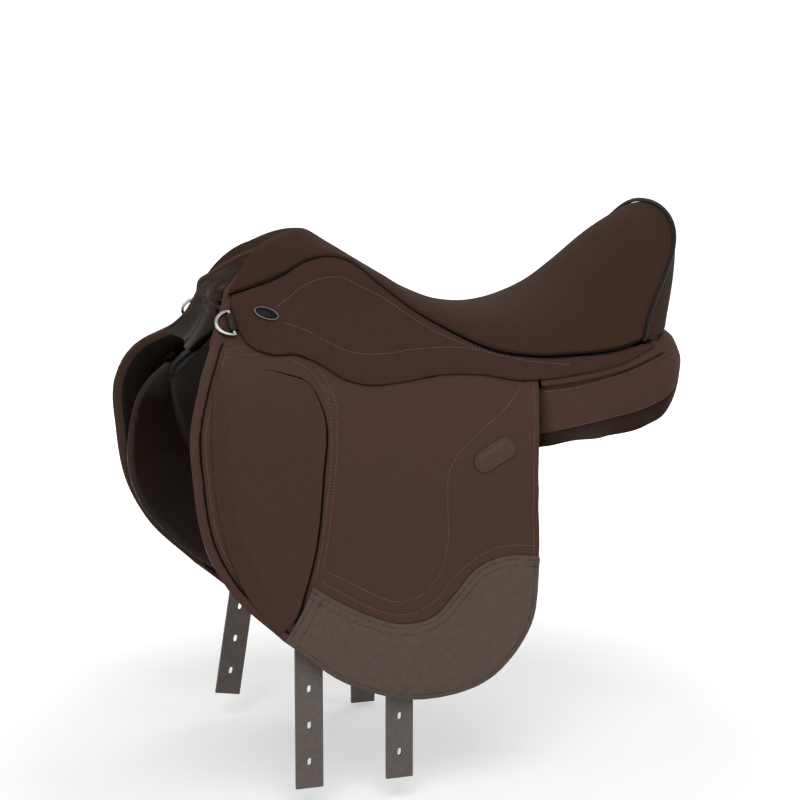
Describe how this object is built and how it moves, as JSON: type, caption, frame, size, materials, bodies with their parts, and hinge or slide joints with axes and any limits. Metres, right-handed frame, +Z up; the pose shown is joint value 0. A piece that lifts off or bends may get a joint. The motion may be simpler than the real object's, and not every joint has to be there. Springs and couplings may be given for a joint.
{
  "type": "dressage saddle",
  "caption": "Deep-seated English dressage saddle: tree, padded seat, panels, lifting flaps with knee blocks, skirts over stirrup bars, long girth straps.",
  "frame": {"origin": "a point inside the space the horse's back takes, on the centre plane, under the middle of the seat, 26 mm below the rear panels' lowest edge", "axes": "+X towards the cantle (the saddle faces -X), -Y towards the rider's left, +Z up"},
  "size_m": [0.5346, 0.366, 0.5645],
  "materials": {
    "seat_suede": "soft matt suede-like seat fabric",
    "brown_fabric": "dark brown woven synthetic",
    "patch_leather": "grained grey-brown synthetic leather",
    "dark_leather": "semi-gloss near-black brown leather",
    "panel_leather": "semi-gloss dark brown leather over flocking",
    "strap_leather": "matt dark grey strap leather",
    "foam": "open-cell seat foam",
    "tree_plastic": "moulded polymer tree",
    "webbing": "woven girth webbing",
    "steel": "plain steel",
    "chrome": "polished plated metal"
  },
  "bodies": {
    "root": {"seat_cover": "seat_suede", "seat_foam": "foam", "tree_shell": "tree_plastic", "pommel_facing": "brown_fabric", "cantle_facing": "brown_fabric", "seat_piping": "dark_leather", "gullet_plate": "steel", "left_flap_top": "brown_fabric", "left_skirt_top": "brown_fabric", "left_sweat_flap": "dark_leather", "left_tree_rail": "tree_plastic", "left_panel": "panel_leather", "left_stirrup_bar": "steel", "left_catch_pin": "chrome", "left_bar_rivet": "steel", "left_dee_tab": "dark_leather", "left_girth_web": "webbing", "left_saddle_nail": "chrome", "left_point_pocket": "dark_leather", "right_flap_top": "brown_fabric", "right_skirt_top": "brown_fabric", "right_sweat_flap": "dark_leather", "right_tree_rail": "tree_plastic", "right_panel": "panel_leather", "right_stirrup_bar": "steel", "right_catch_pin": "chrome", "right_bar_rivet": "steel", "right_dee_tab": "dark_leather", "right_girth_web": "webbing", "right_saddle_nail": "chrome", "right_point_pocket": "dark_leather"},
    "left_flap_body": {"left_flap": "brown_fabric", "left_knee_block": "brown_fabric", "left_flap_patch": "patch_leather", "left_flap_badge": "patch_leather"},
    "left_skirt_body": {"left_skirt": "brown_fabric"},
    "left_catch_body": {"left_bar_catch": "steel"},
    "left_dee_body": {"left_dee_ring": "chrome"},
    "left_front_strap_body": {"left_front_strap": "strap_leather"},
    "left_rear_strap_body": {"left_rear_strap": "strap_leather"},
    "right_flap_body": {"right_flap": "brown_fabric", "right_knee_block": "brown_fabric", "right_flap_patch": "patch_leather", "right_flap_badge": "patch_leather"},
    "right_skirt_body": {"right_skirt": "brown_fabric"},
    "right_catch_body": {"right_bar_catch": "steel"},
    "right_dee_body": {"right_dee_ring": "chrome"},
    "right_front_strap_body": {"right_front_strap": "strap_leather"},
    "right_rear_strap_body": {"right_rear_strap": "strap_leather"}
  },
  "joints": [
    {"name": "left_flap_lift", "type": "hinge", "parent": "root", "child": "left_flap_body", "pos_m": [-0.215, -0.088, 0.125], "axis": [-0.937, 0.2312, 0.262], "range_deg": [0, 80]},
    {"name": "left_skirt_lift", "type": "hinge", "parent": "root", "child": "left_skirt_body", "pos_m": [-0.1802, -0.0649, 0.1484], "axis": [-0.9485, 0.2356, 0.2119], "range_deg": [0, 60]},
    {"name": "left_catch_flip", "type": "hinge", "parent": "root", "child": "left_catch_body", "pos_m": [-0.0253, -0.10597, 0.09639], "axis": [0.0102, -0.7253, 0.6884], "range_deg": [0, 70]},
    {"name": "left_dee_swing", "type": "hinge", "parent": "root", "child": "left_dee_body", "pos_m": [-0.1882, -0.06739, 0.14623], "axis": [-0.0615, 0.6119, 0.7886], "range_deg": [0, 100]},
    {"name": "left_front_strap_swing", "type": "hinge", "parent": "root", "child": "left_front_strap_body", "pos_m": [-0.142, -0.15629, 0.006], "axis": [0, 1, 0], "range_deg": [-8, 8]},
    {"name": "left_rear_strap_swing", "type": "hinge", "parent": "root", "child": "left_rear_strap_body", "pos_m": [-0.051, -0.15581, 0.006], "axis": [0, 1, 0], "range_deg": [-8, 8]},
    {"name": "right_flap_lift", "type": "hinge", "parent": "root", "child": "right_flap_body", "pos_m": [-0.215, 0.088, 0.125], "axis": [0.937, 0.2312, -0.262], "range_deg": [0, 80]},
    {"name": "right_skirt_lift", "type": "hinge", "parent": "root", "child": "right_skirt_body", "pos_m": [-0.1802, 0.0649, 0.1484], "axis": [0.9485, 0.2356, -0.2119], "range_deg": [0, 60]},
    {"name": "right_catch_flip", "type": "hinge", "parent": "root", "child": "right_catch_body", "pos_m": [-0.0253, 0.10597, 0.09639], "axis": [-0.0102, -0.7253, -0.6884], "range_deg": [0, 70]},
    {"name": "right_dee_swing", "type": "hinge", "parent": "root", "child": "right_dee_body", "pos_m": [-0.1882, 0.06739, 0.14623], "axis": [0.0615, 0.6119, -0.7886], "range_deg": [0, 100]},
    {"name": "right_front_strap_swing", "type": "hinge", "parent": "root", "child": "right_front_strap_body", "pos_m": [-0.092, 0.15622, 0.006], "axis": [0, 1, 0], "range_deg": [-16, 2]},
    {"name": "right_rear_strap_swing", "type": "hinge", "parent": "root", "child": "right_rear_strap_body", "pos_m": [0.017, 0.15435, 0.006], "axis": [0, 1, 0], "range_deg": [-8, 8]}
  ]
}
